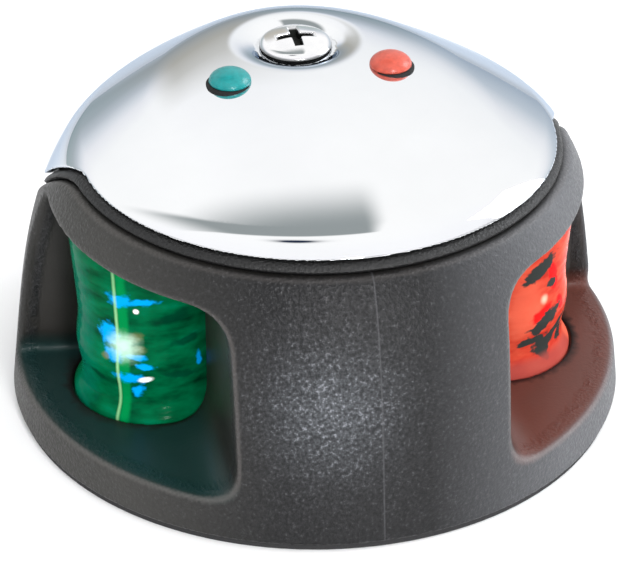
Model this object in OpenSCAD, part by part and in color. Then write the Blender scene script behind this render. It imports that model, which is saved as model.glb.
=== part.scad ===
// Two-colour deck-mount navigation light for a small boat's bow.
// The deck is z = 0, the bow is towards -Y, starboard (green) is -X and port (red) is +X.

/* [Body] */
// Diameter of the round foot on the deck
base_d = 80; // [78:1:86]
// Height at which the chrome cover's front edge sits
rim_z = 36.3; // [35.5:0.1:37]
// Inward draft of the side wall, per millimetre of height
side_draft = 0.11; // [0.09:0.01:0.12]
// Extra inward curve of the side wall at the rim
crown = 4.9; // [4.4:0.1:5.2]
// Moulded wall thickness
wall = 2.4; // [2:0.1:2.6]

/* [Windows] */
// Distance from the centre line to a window's inner wall
window_x = 17.3; // [17:0.1:18]
// Height of the window's ledge
ledge_z = 5.8; // [5.6:0.1:6.2]
// Height of the window's roof, under the brow
roof_z = 30; // [29.5:0.1:30.2]
// Fore-and-aft place of the window's back wall
window_back_y = 3; // [2.5:0.1:3.5]
// Radius of the window's corners on the front column
window_corner_r = 3.5; // [2:0.25:4.5]

/* [Lenses] */
// Distance from the centre line to a lens's axis
lens_x = 22.5; // [22:0.1:23]
// Fore-and-aft place of a lens's axis
lens_y = -5.5; // [-6:0.1:-5]
// Outer radius of the lens
lens_r = 10.4; // [10:0.1:10.6]
// Thickness of the lens wall
lens_wall = 2; // [1.6:0.1:2.2]

/* [Cover] */
// Thickness of the chrome cover
cover_t = 1.2; // [1:0.1:1.4]
// Height of the cover's flat crown
crown_z = 44; // [43.8:0.1:44.4]
// Fore-and-aft place of the cover screw
screw_y = 11.7; // [11.2:0.1:12.2]
// Height of the screw's dished seat
dish_z = 42.7; // [42.6:0.05:42.8]
// How far the cover's edge falls from front to rear
tail_drop = 11.3; // [9:0.1:12]

/* [Mounting] */
// Fore-and-aft place of the front deck-screw hole
front_hole_y = -26; // [-26.5:0.5:-25.5]
// Fore-and-aft place of the rear deck-screw hole
rear_hole_y = 24; // [23:0.5:24]
// Radius of the deck-screw holes
deck_hole_r = 2.3; // [2:0.1:2.6]
// Radius of the wire passage
wire_hole_r = 2.5; // [2:0.1:3]

/* [Hidden] */
$fn = 96;

base_r = base_d / 2;
side_power = 4.5;
eps = 0.01;
far = 60;
gap = 0.3;

// Stack of levels from the deck up
gasket_t = 0.8;
plate_z = 2.8;
ledge_t = 2.5;
web_z = 33;
collar_t = 1.8;
seal_t = 1.5;
seal_inset = 0.4;
seal_inner_r = 29.3;

// The cover's dome is a curved cone that leans aft, under a nearly flat crown
dome_tilt = 17.5;
dome_y = 4.1;
dome_peak = 47.4;
dome_fall = 0.051;
dome_power = 1.59;
dome_reach = 46;
crown_sphere_r = 150;
crown_y = 8;

// The cover's edge falls smoothly between these two fore-and-aft places
fall_front_y = -5;
fall_rear_y = 20;

// Lens pocket
pocket_r = 10.7;
pocket_floor_z = 4.3;
pocket_top_z = 30.9;
lens_seal_t = 0.5;
lens_bottom_z = pocket_floor_z + lens_seal_t;
lens_top_z = pocket_top_z - lens_seal_t;
window_wall = 2;
back_wall = 4;
lens_cut_x = window_x - window_wall;
sector_angle = 56.25;

// Electronics
led_z = 16.5;
led_board_back = 3;
led_board_t = 1;
board_z = 34.2;
board_t = 1.2;
board_top_z = board_z + board_t;
board_screw_x = 13;
board_screw_r = 1;
board_post_r = 2.5;
board_screw_y = [-14.5, 14.5];
wire_y = -6;
jumper_ys = [-2.6, -5];
jumper_z = 26;
jumper_r = 0.7;
jumper_rise_x = 9.5;

// Tell-tales
telltale_x = 10.4;
telltale_y = 2.6;
telltale_seat_z = 43;
telltale_r = 2.7;
telltale_h = 1.7;
telltale_stem_r = 1.8;
telltale_flange_r = 3.1;
telltale_flange_t = 0.6;
indicator_h = 1.7;

// Cover screw
shank_r = 2;
insert_r = 3.1;
insert_z = 31;
post_r = 4.6;
post_z = 24;
post_top_z = 39;
head_r = 4.8;
head_h = 1.6;
washer_r = 4.2;
washer_t = 0.6;
washer_z = dish_z - 0.35;
head_z = washer_z + washer_t;
screw_length = 11.6;
screw_bottom_z = head_z - screw_length;

// Base plate, its screws in the four closed corners of the body, and its wire passage
plate_r = 36;
plate_screws = [[-10, -29.5], [10, -29.5], [-22, 18], [22, 18]];
plate_screw_r = 1.2;
plate_screw_h = 8;
plate_post_r = 3;
tube_r = 5.6;
tube_bore_r = 4.4;
grommet_r = 4;
web_hole_r = 3.5;

function side_r(z) = base_r - side_draft * z - crown * pow(max(z, 0) / rim_z, side_power);
function smooth(t) = t * t * (3 - 2 * t);
function edge_z(y) =
    rim_z - tail_drop * smooth(min(1, max(0, (y - fall_front_y) / (fall_rear_y - fall_front_y))));

// Solid of the outer shape's side wall between two heights, drawn in by inset
module side_solid(z_low, z_high, inset = 0, steps = 16) {
    rotate_extrude()
        polygon(concat(
            [[0, z_low]],
            [for (i = [0:steps])
                let (z = z_low + (z_high - z_low) * i / steps)
                [side_r(z) - inset, z]],
            [[0, z_high]]
        ));
}

// Solid under the leaning dome and the crown, lowered by inset
module dome_solid(inset = 0) {
    intersection() {
        translate([0, dome_y, 0])
            rotate([-dome_tilt, 0, 0])
                rotate_extrude()
                    polygon(concat(
                        [[0, -dome_reach / 2]],
                        [for (rho = [dome_reach:-2:0])
                            [rho, dome_peak - inset * 1.1 - dome_fall * pow(rho, dome_power)]]
                    ));
        translate([0, crown_y, crown_z - crown_sphere_r])
            sphere(r = crown_sphere_r - inset);
    }
}

// Everything above the cover's falling edge, moved up by lift
module above_edge(lift = 0) {
    steps = 12;
    rotate([90, 0, 90])
        linear_extrude(height = 2 * far, center = true)
            polygon(concat(
                [[-far, far + lift], [-far, rim_z + lift]],
                [for (i = [0:steps])
                    let (y = fall_front_y + (fall_rear_y - fall_front_y) * i / steps)
                    [y, edge_z(y) + lift]],
                [[far, rim_z - tail_drop + lift], [far, far + lift]]
            ));
}

// Outline with rounded corners, made of bars and corner discs
module rounded_outline(size, r) {
    translate([r, 0])
        square([size[0] - 2 * r, size[1]]);
    translate([0, r])
        square([size[0], size[1] - 2 * r]);
    for (x = [r, size[0] - r], y = [r, size[1] - r])
        translate([x, y])
            circle(r = r, $fn = 48);
}

module rounded_block(size, r) {
    linear_extrude(height = size[2])
        rounded_outline([size[0], size[1]], r);
}

module tube(outer_r, inner_r, h) {
    difference() {
        cylinder(r = outer_r, h = h);
        translate([0, 0, -eps])
            cylinder(r = inner_r, h = h + 2 * eps);
    }
}

// Starboard things are drawn at -X; port ones are their mirror image
module to_port() {
    mirror([1, 0, 0])
        children();
}

module both_sides() {
    children();
    to_port()
        children();
}

// ---- Foot ----

module deck_gasket() {
    inset = 0.6;
    color("dimgray")
        difference() {
            cylinder(r = base_r - inset, h = gasket_t);
            for (y = [front_hole_y, rear_hole_y])
                translate([0, y, -eps])
                    cylinder(r = deck_hole_r, h = gasket_t + 2 * eps);
            translate([0, wire_y, -eps])
                cylinder(r = grommet_r + inset, h = gasket_t + 2 * eps);
        }
}

module base_plate() {
    color([0.13, 0.13, 0.14])
        difference() {
            translate([0, 0, gasket_t])
                cylinder(r = plate_r, h = plate_z - gasket_t);
            for (y = [front_hole_y, rear_hole_y])
                translate([0, y, 0])
                    cylinder(r = deck_hole_r, h = plate_z + 1);
            translate([0, wire_y, 0])
                cylinder(r = grommet_r, h = plate_z + 1);
            for (p = plate_screws)
                translate([p[0], p[1], 0])
                    plate_screw_shape();
        }
}

module base_seal() {
    color("black")
        translate([0, 0, gasket_t])
            tube(plate_r + 1.1, plate_r, plate_z - gasket_t - 0.1);
}

// Countersunk self-tapping screw, head down
module plate_screw_shape() {
    translate([0, 0, gasket_t])
        cylinder(r1 = 2 * plate_screw_r, r2 = plate_screw_r, h = plate_screw_r);
    translate([0, 0, gasket_t])
        cylinder(r = plate_screw_r, h = plate_screw_h);
}

module base_plate_screws() {
    slot_l = 2.6;
    slot_w = 0.5;
    slot_h = 0.7;
    color("silver")
        for (p = plate_screws)
            translate([p[0], p[1], 0])
                difference() {
                    plate_screw_shape();
                    for (turn = [0, 90])
                        rotate([0, 0, turn])
                            translate([-slot_l / 2, -slot_w / 2, gasket_t - eps])
                                cube([slot_l, slot_w, slot_h]);
                }
}

module wire_grommet() {
    foot_z = 0.3;
    flange_r = 5.5;
    flange_h = 1;
    color("black")
        translate([0, wire_y, 0])
            difference() {
                union() {
                    translate([0, 0, foot_z])
                        cylinder(r = grommet_r, h = plate_z + flange_h - foot_z);
                    translate([0, 0, plate_z])
                        cylinder(r = flange_r, h = flange_h);
                }
                cylinder(r = wire_hole_r, h = plate_z + 2 * flange_h);
            }
}

// ---- Housing ----

// Window recess at starboard: rounded towards the column, flared at its back wall
module window_space(grow = 0) {
    flare_r = 3;
    flare_x = 36;
    intersection() {
        translate([0, far, 0])
            rotate([90, 0, 0])
                linear_extrude(height = 2 * far)
                    translate([-far, ledge_z - grow])
                        rounded_outline(
                            [far - window_x + grow, roof_z - ledge_z + 2 * grow],
                            window_corner_r
                        );
        translate([0, 0, -eps])
            linear_extrude(height = far)
                union() {
                    translate([-far, -far])
                        square([far - window_x + grow, far + window_back_y + grow]);
                    if (grow == 0)
                        difference() {
                            translate([-far, window_back_y - eps])
                                square([far - flare_x + flare_r, flare_r]);
                            translate([-flare_x + flare_r, window_back_y + flare_r])
                                circle(r = flare_r, $fn = 48);
                        }
                }
    }
}

module lens_pocket() {
    translate([-lens_x, lens_y, pocket_floor_z])
        cylinder(r = pocket_r, h = pocket_top_z - pocket_floor_z);
}

module cavity() {
    difference() {
        side_solid(gasket_t - eps, roof_z, wall);
        both_sides()
            window_wall_block();
    }
}

// Solid left around a window: its inner wall, back wall and ledge
module window_wall_block() {
    translate([-far, -far, ledge_z - ledge_t])
        cube([far - lens_cut_x, far + window_back_y + back_wall, far]);
}

module housing_shell() {
    difference() {
        union() {
            difference() {
                side_solid(gasket_t, rim_z - seal_t - gap, 0);
                above_edge(-seal_t - gap);
            }
            side_solid(roof_z - 6, rim_z - seal_t - gap, collar_t, 6);
        }
        translate([0, 0, web_z])
            cylinder(r = seal_inner_r, h = 10);
        cavity();
        both_sides() {
            window_space();
            lens_pocket();
        }
    }
}

module housing() {
    color([0.16, 0.16, 0.17])
        difference() {
            union() {
                housing_shell();
                for (y = [front_hole_y, rear_hole_y])
                    translate([0, y, plate_z])
                        cylinder(r = tube_r, h = web_z - plate_z);
                for (p = plate_screws)
                    translate([p[0], p[1], plate_z])
                        cylinder(r = plate_post_r, h = roof_z - plate_z + eps);
                translate([0, screw_y, post_z])
                    cylinder(r = post_r, h = post_top_z - post_z);
                for (x = [-board_screw_x, board_screw_x], y = board_screw_y)
                    translate([x, y, web_z - eps])
                        cylinder(r = board_post_r, h = board_z - web_z + eps);
            }
            for (y = [front_hole_y, rear_hole_y])
                translate([0, y, plate_z - eps])
                    cylinder(r = tube_bore_r, h = far);
            for (p = plate_screws)
                translate([p[0], p[1], gasket_t])
                    cylinder(r = plate_screw_r, h = plate_screw_h);
            translate([0, screw_y, insert_z])
                cylinder(r = insert_r, h = far);
            translate([0, screw_y, insert_z - 4])
                cylinder(r = shank_r + 0.3, h = far);
            translate([0, wire_y, roof_z - 1])
                cylinder(r = web_hole_r, h = far);
            for (x = [-board_screw_x, board_screw_x], y = board_screw_y)
                translate([x, y, roof_z + 0.8])
                    cylinder(r = board_screw_r, h = far);
            both_sides()
                for (y = jumper_ys)
                    translate([-jumper_rise_x, y, roof_z - 1])
                        cylinder(r = jumper_r + 0.4, h = far);
        }
}

module threaded_insert() {
    color("goldenrod")
        translate([0, screw_y, insert_z])
            tube(insert_r, shank_r + 0.06, post_top_z - insert_z);
}

// Moulded gasket that follows the cover's edge round the housing
module cover_seal() {
    color([0.12, 0.12, 0.12])
        difference() {
            side_solid(rim_z - tail_drop - 4, rim_z - gap, seal_inset);
            above_edge(-gap);
            translate([0, 0, -seal_t])
                difference() {
                    translate([-far, -far, 0])
                        cube([2 * far, 2 * far, far]);
                    above_edge(-gap);
                }
            side_solid(rim_z - tail_drop - 6, rim_z - seal_t - gap, collar_t, 10);
            cylinder(r = seal_inner_r, h = far);
        }
}

// ---- Lenses ----

// Outer profile of the lens, as heights over its foot and how far it is drawn in there:
// foot ring, waist, small barrel, shallow waist, and a long flare to the top
lens_outline = [
    [0, 0], [1.6, 0], [2.3, 0.8], [3.2, 1.08], [4.5, 1.15], [5.8, 0.95], [7, 0.68], [8.2, 0.55],
    [9.5, 0.58], [11, 0.8], [12.4, 0.88], [14, 0.82], [17, 0.6], [20, 0.36], [23, 0.14], [24.4, 0]
];

module lens_profile() {
    inner = lens_r - lens_wall;
    h = lens_top_z - lens_bottom_z;
    polygon(concat(
        [[inner, 0]],
        [for (p = lens_outline) [lens_r - p[1], p[0]]],
        [[lens_r, h], [inner, h]]
    ));
}

module starboard_lens() {
    difference() {
        translate([-lens_x, lens_y, lens_bottom_z])
            rotate_extrude()
                lens_profile();
        translate([-lens_cut_x, -far, 0])
            cube([far, 2 * far, far]);
    }
}

module green_lens() {
    color([0, 0.62, 0.32, 0.8])
        starboard_lens();
}

module red_lens() {
    color([0.95, 0.25, 0.16, 0.8])
        to_port()
            starboard_lens();
}

module starboard_lens_seal(z) {
    difference() {
        translate([-lens_x, lens_y, z])
            tube(pocket_r - 0.1, lens_r - lens_wall - 0.4, lens_seal_t);
        translate([-lens_cut_x, -far, 0])
            cube([far, 2 * far, far]);
    }
}

module green_lens_lower_seal() {
    color("black")
        starboard_lens_seal(pocket_floor_z);
}

module red_lens_lower_seal() {
    color("black")
        to_port()
            starboard_lens_seal(pocket_floor_z);
}

module green_lens_upper_seal() {
    color("black")
        starboard_lens_seal(lens_top_z);
}

module red_lens_upper_seal() {
    color("black")
        to_port()
            starboard_lens_seal(lens_top_z);
}

// Plate that closes the lens's flat side and carries the heat sink
module starboard_baffle() {
    front_y = -17;
    back_y = 4.9;
    difference() {
        translate([-lens_cut_x, front_y, ledge_z - ledge_t])
            cube([1.2, back_y - front_y, roof_z - ledge_z + ledge_t]);
        for (y = jumper_ys)
            translate([-far, y, jumper_z])
                rotate([0, 90, 0])
                    cylinder(r = jumper_r, h = far);
    }
}

module green_baffle() {
    color([0.85, 0.87, 0.86])
        starboard_baffle();
}

module red_baffle() {
    color([0.85, 0.87, 0.86])
        to_port()
            starboard_baffle();
}

// Places a shape drawn facing -Y so that it faces the middle of the lit sector
module in_starboard_sector() {
    translate([-lens_x, lens_y, 0])
        rotate([0, 0, -sector_angle])
            children();
}

// Plate behind the LED board with a grooved bar back to the baffle
module starboard_heat_sink() {
    plate_w = 9;
    plate_t = 2.2;
    plate_low_z = 9;
    plate_h = 14;
    bar_x = 20;
    bar_y = -5.6;
    bar_w = 4.2;
    bar_low_z = 11;
    bar_h = 11;
    groove_x = 17.6;
    groove_pitch = 2.6;
    difference() {
        union() {
            in_starboard_sector()
                translate([-plate_w / 2, led_board_back, plate_low_z])
                    cube([plate_w, plate_t, plate_h]);
            translate([-bar_x, bar_y, bar_low_z])
                cube([bar_x - lens_cut_x, bar_w, bar_h]);
        }
        in_starboard_sector()
            translate([-far, led_board_back - far, 0])
                cube([2 * far, far, far]);
        for (z = [bar_low_z + 2.2:groove_pitch:bar_low_z + bar_h - 1])
            translate([-groove_x, -far, z])
                cube([1.4, far * 2, 1]);
    }
}

module green_heat_sink() {
    color("lightgray")
        starboard_heat_sink();
}

module red_heat_sink() {
    color("lightgray")
        to_port()
            starboard_heat_sink();
}

module starboard_led_board() {
    board_w = 8;
    board_low_z = 8;
    board_h = 20;
    in_starboard_sector()
        translate([-board_w / 2, led_board_back - led_board_t, board_low_z])
            cube([board_w, led_board_t, board_h]);
}

module green_led_board() {
    color("whitesmoke")
        starboard_led_board();
}

module red_led_board() {
    color("whitesmoke")
        to_port()
            starboard_led_board();
}

// Square package with a half-round lens on its face
module starboard_led() {
    size = 3.6;
    lens = 1.4;
    face = led_board_back - led_board_t - 1;
    in_starboard_sector() {
        translate([-size / 2, face, led_z - size / 2])
            cube([size, 1, size]);
        translate([0, face + eps, led_z])
            difference() {
                sphere(r = lens);
                translate([-2 * lens, 0, -2 * lens])
                    cube(4 * lens);
            }
    }
}

module green_led() {
    color("palegreen")
        starboard_led();
}

module red_led() {
    color("lightsalmon")
        to_port()
            starboard_led();
}

// ---- Electronics under the cover ----

// One lead: out of the LED board, through the baffle, then up through the web
module starboard_jumper(y) {
    start_x = -lens_x + led_board_back / sin(sector_angle)
        - (y - lens_y - jumper_r) / tan(sector_angle) + eps;
    translate([start_x, y, jumper_z])
        rotate([0, 90, 0])
            cylinder(r = jumper_r, h = -jumper_rise_x - start_x);
    translate([-jumper_rise_x, y, jumper_z]) {
        sphere(r = jumper_r);
        cylinder(r = jumper_r, h = board_z - jumper_z);
    }
}

module jumper_wires() {
    color("firebrick")
        both_sides()
            for (y = jumper_ys)
                starboard_jumper(y);
}

module driver_board() {
    board_x = 19;
    front_y = -17;
    back_y = 17.5;
    slot_w = 16;
    wire_r = 3;
    color("seagreen")
        difference() {
            translate([-board_x, front_y, board_z])
                rounded_block([2 * board_x, back_y - front_y, board_t], 3);
            translate([0, screw_y, board_z - eps])
                cylinder(r = post_r + 0.3, h = board_t + 2 * eps);
            translate([0, wire_y, board_z - eps])
                cylinder(r = wire_r, h = board_t + 2 * eps);
            translate([-slot_w / 2, screw_y, board_z - eps])
                cube([slot_w, far, board_t + 2 * eps]);
            for (x = [-board_screw_x, board_screw_x], y = board_screw_y)
                translate([x, y, board_z - eps])
                    cylinder(r = board_screw_r, h = board_t + 2 * eps);
        }
}

module board_screws() {
    head_radius = 2;
    head_height = 1.2;
    slot_l = 2.4;
    slot_w = 0.5;
    color("silver")
        for (x = [-board_screw_x, board_screw_x], y = board_screw_y)
            translate([x, y, 0])
                difference() {
                    union() {
                        translate([0, 0, roof_z + 1])
                            cylinder(r = board_screw_r, h = board_top_z - roof_z - 1 + eps);
                        translate([0, 0, board_top_z])
                            cylinder(r = head_radius, h = head_height);
                    }
                    for (turn = [0, 90])
                        rotate([0, 0, turn])
                            translate([-slot_l / 2, -slot_w / 2, board_top_z + head_height / 2])
                                cube([slot_l, slot_w, 1]);
                }
}

// Two-way terminal block: a clamp well and a wire hole for each lead
module wire_terminal() {
    block = [10, 5.5, 4];
    front_y = -15.5;
    well_x = 2.4;
    well_r = 1.2;
    hole_z = 2.4;
    color("royalblue")
        translate([0, front_y, board_top_z])
            difference() {
                translate([-block[0] / 2, 0, 0])
                    cube(block);
                for (x = [-well_x, well_x])
                    translate([x, 2, hole_z]) {
                        cylinder(r = well_r, h = block[2]);
                        rotate([-90, 0, 0])
                            cylinder(r = 1, h = block[1]);
                    }
            }
}

module bridge_rectifier() {
    body = [6.4, 5, 2.4];
    corner = [-16, -8];
    mark_x = 1.1;
    color([0.1, 0.1, 0.1])
        translate([corner[0], corner[1], board_top_z])
            difference() {
                cube(body);
                translate([mark_x, mark_x, body[2] - 0.4])
                    cylinder(r = 0.4, h = 1);
            }
}

module driver_chip() {
    pins = 4;
    pitch = 1.27;
    pin = [0.42, 0.9, 0.6];
    body = [5, 4, 1.5];
    corner = [9, -8];
    translate([corner[0], corner[1], board_top_z]) {
        color([0.1, 0.1, 0.1])
            translate([0, 0, 0.1])
                cube(body);
        color("silver")
            for (i = [0:pins - 1], y = [-pin[1], body[1]])
                translate([0.4 + i * pitch, y, 0])
                    cube(pin);
    }
}

module capacitor() {
    centre = [-11.5, 8.6];
    can_r = 2.5;
    can_h = 4;
    foot = [5.2, 5.2, 0.6];
    color("slategray")
        translate([centre[0], centre[1], board_top_z]) {
            cylinder(r = can_r, h = can_h);
            translate([-foot[0] / 2, -foot[1] / 2, 0])
                cube(foot);
        }
}

module inductor() {
    corner = [8.6, 6.2];
    size = [5.6, 5.6, 2.8];
    groove_depth = 0.4;
    color([0.25, 0.25, 0.27])
        translate([corner[0], corner[1], board_top_z])
            difference() {
                rounded_block(size, 1.4);
                translate([size[0] / 2, size[1] / 2, size[2] - groove_depth])
                    tube(2, 1.2, 1);
            }
}

module chip_resistors() {
    chip = [1.6, 0.9, 0.5];
    row_y = -2.6;
    spacing = 3;
    color([0.12, 0.12, 0.12])
        for (i = [-2:2])
            translate([i * spacing - chip[0] / 2, row_y, board_top_z])
                cube(chip);
}

// Small LED under each tell-tale's stem
module starboard_indicator() {
    size = 3;
    body_h = 0.8;
    lens = 1.1;
    translate([-telltale_x, telltale_y, board_top_z]) {
        translate([-size / 2, -size / 2, 0])
            cube([size, size, body_h]);
        cylinder(r = lens, h = indicator_h);
    }
}

module green_indicator_led() {
    color("mediumspringgreen")
        starboard_indicator();
}

module red_indicator_led() {
    color("tomato")
        to_port()
            starboard_indicator();
}

// ---- Cover ----

module top_cover() {
    boss_r = 6.4;
    dish_r = 5.3;
    dish_slope_h = 1;
    dish_top_r = dish_r + 1.6 * dish_slope_h;
    color([0.85, 0.87, 0.9])
        difference() {
            union() {
                difference() {
                    intersection() {
                        side_solid(rim_z - tail_drop - 1, crown_z + 1, 0, 20);
                        dome_solid();
                        above_edge();
                    }
                    intersection() {
                        side_solid(rim_z - tail_drop - 2, crown_z + 1, cover_t, 20);
                        dome_solid(cover_t);
                    }
                }
                intersection() {
                    translate([0, screw_y, post_top_z + gap])
                        cylinder(r = boss_r, h = 10);
                    dome_solid();
                }
                both_sides()
                    intersection() {
                        translate([-telltale_x, telltale_y, telltale_seat_z - 2])
                            cylinder(r = telltale_flange_r, h = 5);
                        dome_solid();
                    }
            }
            translate([0, screw_y, dish_z])
                cylinder(r1 = dish_r, r2 = dish_top_r, h = dish_slope_h);
            translate([0, screw_y, dish_z + dish_slope_h - eps])
                cylinder(r = dish_top_r, h = 5);
            translate([0, screw_y, washer_z - 0.05])
                cylinder(r = washer_r + 0.2, h = 5);
            translate([0, screw_y, 0])
                cylinder(r = shank_r + 0.4, h = far);
            both_sides()
                translate([-telltale_x, telltale_y, telltale_seat_z]) {
                    cylinder(r = telltale_flange_r, h = 5);
                    translate([0, 0, -5])
                        cylinder(r = telltale_stem_r, h = 10);
                }
        }
}

// Light pipe: a stem through the cover with a small dome on top
module starboard_telltale() {
    cap_z = telltale_seat_z + telltale_flange_t;
    stem_low_z = board_top_z + indicator_h + 0.5;
    cap_sphere_r = (telltale_r * telltale_r + telltale_h * telltale_h) / (2 * telltale_h);
    translate([-telltale_x, telltale_y, 0]) {
        translate([0, 0, stem_low_z])
            cylinder(r = telltale_stem_r, h = cap_z - stem_low_z + eps);
        intersection() {
            translate([0, 0, cap_z + telltale_h - cap_sphere_r])
                sphere(r = cap_sphere_r);
            translate([0, 0, cap_z])
                cylinder(r = telltale_r + 1, h = telltale_h + 1);
        }
    }
}

module green_telltale() {
    color([0, 0.6, 0.58])
        starboard_telltale();
}

module red_telltale() {
    color([0.9, 0.4, 0.3])
        to_port()
            starboard_telltale();
}

module telltale_grommets() {
    color("black")
        both_sides()
            translate([-telltale_x, telltale_y, telltale_seat_z])
                tube(telltale_flange_r, telltale_stem_r, telltale_flange_t);
}

module screw_washer() {
    color("black")
        translate([0, screw_y, washer_z])
            tube(washer_r, shank_r + 0.06, washer_t);
}

// Pan-head screw with a cross recess; its thread is drawn as a plain shank
module cover_screw() {
    cap_h = 1;
    recess_l = 5.2;
    recess_w = 1;
    recess_h = 1.1;
    cap_sphere_r = (head_r * head_r + cap_h * cap_h) / (2 * cap_h);
    color("gainsboro")
        translate([0, screw_y, 0])
            difference() {
                union() {
                    translate([0, 0, screw_bottom_z])
                        cylinder(r = shank_r, h = head_z - screw_bottom_z + eps);
                    translate([0, 0, head_z])
                        cylinder(r = head_r, h = head_h - cap_h);
                    intersection() {
                        translate([0, 0, head_z + head_h - cap_sphere_r])
                            sphere(r = cap_sphere_r);
                        translate([0, 0, head_z + head_h - cap_h])
                            cylinder(r = head_r, h = cap_h);
                    }
                }
                for (turn = [45, 135])
                    rotate([0, 0, turn])
                        translate([-recess_l / 2, -recess_w / 2, head_z + head_h - recess_h])
                            cube([recess_l, recess_w, 2 * recess_h]);
            }
}

deck_gasket();
base_plate();
base_seal();
base_plate_screws();
wire_grommet();
housing();
threaded_insert();
cover_seal();
green_lens();
red_lens();
green_lens_lower_seal();
red_lens_lower_seal();
green_lens_upper_seal();
red_lens_upper_seal();
green_baffle();
red_baffle();
green_heat_sink();
red_heat_sink();
green_led_board();
red_led_board();
green_led();
red_led();
jumper_wires();
driver_board();
board_screws();
wire_terminal();
bridge_rectifier();
driver_chip();
capacitor();
inductor();
chip_resistors();
green_indicator_led();
red_indicator_led();
top_cover();
green_telltale();
red_telltale();
telltale_grommets();
screw_washer();
cover_screw();
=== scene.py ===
"""Looks for the two-colour deck-mount navigation light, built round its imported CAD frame.

Shapes are worked out in millimetres in the row frame: the deck is z = 0, the bow is towards -Y,
green is to starboard (-X) and red to port (+X). Meshes are written in metres.
"""
import math

import bpy
import numpy as np
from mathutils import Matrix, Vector


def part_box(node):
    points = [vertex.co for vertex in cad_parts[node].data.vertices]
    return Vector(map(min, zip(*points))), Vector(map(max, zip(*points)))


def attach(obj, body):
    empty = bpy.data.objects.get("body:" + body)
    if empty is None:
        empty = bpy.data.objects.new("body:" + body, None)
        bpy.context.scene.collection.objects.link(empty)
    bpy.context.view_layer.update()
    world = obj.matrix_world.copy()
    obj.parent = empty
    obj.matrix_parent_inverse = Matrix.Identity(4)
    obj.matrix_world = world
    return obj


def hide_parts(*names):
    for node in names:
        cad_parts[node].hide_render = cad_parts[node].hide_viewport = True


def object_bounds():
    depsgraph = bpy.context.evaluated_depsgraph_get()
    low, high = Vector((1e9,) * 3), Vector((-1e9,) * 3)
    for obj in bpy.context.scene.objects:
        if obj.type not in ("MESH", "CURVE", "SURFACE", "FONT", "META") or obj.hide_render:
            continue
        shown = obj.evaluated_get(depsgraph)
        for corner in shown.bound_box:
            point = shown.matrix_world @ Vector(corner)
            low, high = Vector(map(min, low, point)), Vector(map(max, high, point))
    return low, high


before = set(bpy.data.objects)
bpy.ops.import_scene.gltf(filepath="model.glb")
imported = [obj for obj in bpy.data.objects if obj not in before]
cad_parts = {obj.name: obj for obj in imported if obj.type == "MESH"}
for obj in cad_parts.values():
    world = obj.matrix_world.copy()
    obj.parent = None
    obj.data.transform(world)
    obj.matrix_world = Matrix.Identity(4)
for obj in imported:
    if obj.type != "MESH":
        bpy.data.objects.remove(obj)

CAD_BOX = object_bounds()
MM = 0.001
MOST_TRIANGLES = 190000


def box_mm(node):
    """Lowest and highest corners of a CAD node, in millimetres."""
    low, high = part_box(node)
    return np.array(low) / MM, np.array(high) / MM


def middle_mm(node):
    """Middle of a CAD node's box, in millimetres."""
    low, high = box_mm(node)
    return (low + high) / 2


# ---------------------------------------------------------------- sizes, as the CAD model has them

# Side wall of the whole body: a drafted cone whose top curves in
BASE_R = 40.0
DRAFT = 0.11
CROWN = 4.9
RIM_Z = 36.3
SIDE_POWER = 4.5
WALL = 2.4
FOOT_Z = box_mm("housing")[0][2]

# The cover's dome leans aft under a nearly flat crown
DOME_TILT = math.radians(17.5)
DOME_Y = 4.1
DOME_PEAK = 47.4
DOME_FALL = 0.051
DOME_POWER = 1.59
CROWN_R = 150.0
CROWN_Y = 8.0
CROWN_Z = 44.0
COVER_T = 1.2

# The cover's edge falls aft between two places
TAIL_DROP = 11.3
FALL_FRONT_Y = -5.0
FALL_REAR_Y = 20.0
EDGE_GAP = 0.3
SEAL_T = 1.5
SEAL_INSET = 0.4
SEAL_INNER_R = 29.3
COLLAR_T = 1.8

# Windows and lens pockets
WINDOW_X = 17.3
WINDOW_BACK_Y = 3.0
WINDOW_WALL = 2.0
BACK_WALL = 4.0
LEDGE_Z = 5.8
LEDGE_T = 2.5
ROOF_Z = 30.0
WEB_Z = 33.0
POCKET_R = 10.45
POCKET_FLOOR_Z = 4.3
POCKET_TOP_Z = 30.9
LENS_R = 10.4
LENS_CUT_X = WINDOW_X - WINDOW_WALL
# Height over the lens's foot, and how far it is drawn in there
LENS_SHAPE = (
    (0.0, 0.0), (1.6, 0.0), (2.3, 0.8), (3.2, 1.08), (4.5, 1.15), (5.8, 0.95), (7.0, 0.68), (8.2, 0.55),
    (9.5, 0.58), (11.0, 0.8), (12.4, 0.88), (14.0, 0.82), (17.0, 0.6), (20.0, 0.36), (23.0, 0.14),
    (24.4, 0.0),
)
LENS_WALL = 2.0
RIB_PITCH = 1.8
LENS_LOW, LENS_HIGH = box_mm("green_lens")
LENS_X = -LENS_LOW[0] - LENS_R
LENS_Y = (LENS_LOW[1] + LENS_HIGH[1]) / 2

# Posts and passages inside the housing
PLATE_Z = box_mm("base_plate")[1][2]
DECK_HOLES_Y = (-26.0, 24.0)
DECK_TUBE_R = 5.6
DECK_BORE_R = 4.4
PLATE_SCREWS = ((-10.0, -29.5), (10.0, -29.5), (-22.0, 18.0), (22.0, 18.0))
PLATE_POST_R = 3.0
WIRE_Y = middle_mm("wire_grommet")[1]
WIRE_HOLE_R = 3.5
POST_R = 4.6
POST_FOOT_Z = 24.0
INSERT_HOLE_R = 3.1
INSERT_HOLE_Z = 27.0
POST_TOP_Z = box_mm("threaded_insert")[1][2]
BOARD_Z = box_mm("driver_board")[0][2]
BOARD_SCREWS = [(x, y) for x in (-13.0, 13.0) for y in (-14.5, 14.5)]
BOARD_POST_R = 2.5

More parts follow.
